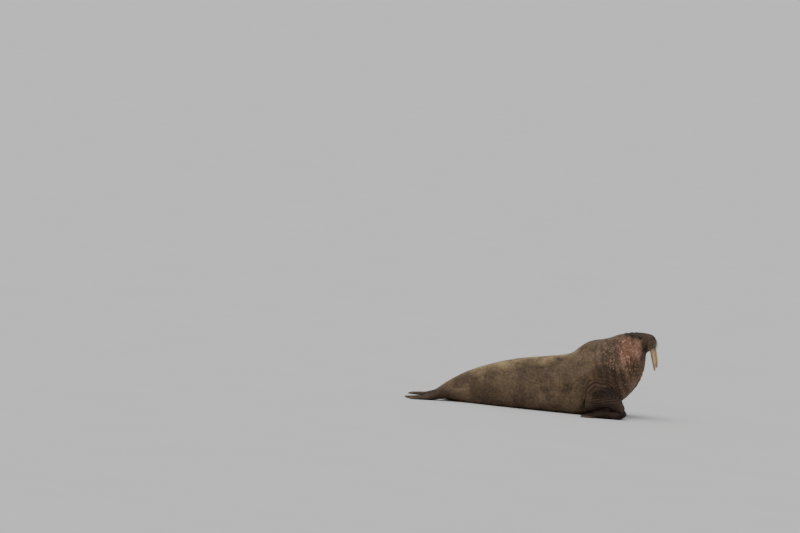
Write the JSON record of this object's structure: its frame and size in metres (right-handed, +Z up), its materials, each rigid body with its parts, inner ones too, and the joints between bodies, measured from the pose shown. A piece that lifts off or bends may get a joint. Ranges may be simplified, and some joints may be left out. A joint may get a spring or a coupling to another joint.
{
  "type": "walrus",
  "caption": "Adult male walrus at life size, lying on its belly with its chest propped on its fore flippers and its head raised.",
  "frame": {"origin": "on the floor, under the middle of the animal's bounding box", "axes": "+X towards the head, +Y to the animal's left, +Z up"},
  "size_m": [3.6408, 1.6449, 1.2749],
  "materials": {
    "body_skin": "short coarse hair over thick olive-brown hide",
    "neck_skin": "wrinkled pinkish brown hide with bosses",
    "face_skin": "dark grey-brown hide",
    "flipper_skin": "bare dark wrinkled hide",
    "tusk": "worn yellowish ivory",
    "eye": "wet dark brown"
  },
  "bodies": {
    "root": {"head": "face_skin", "muzzle": "face_skin", "lower_jaw": "face_skin", "neck": "neck_skin", "chest": "body_skin", "trunk": "body_skin", "hindquarters": "body_skin", "tail": "body_skin", "fore_flipper_left": "flipper_skin", "fore_flipper_right": "flipper_skin", "hind_flipper_left": "flipper_skin", "hind_flipper_right": "flipper_skin", "tusk_left": "tusk", "tusk_right": "tusk", "eye_left": "eye", "eye_right": "eye"}
  },
  "joints": []
}
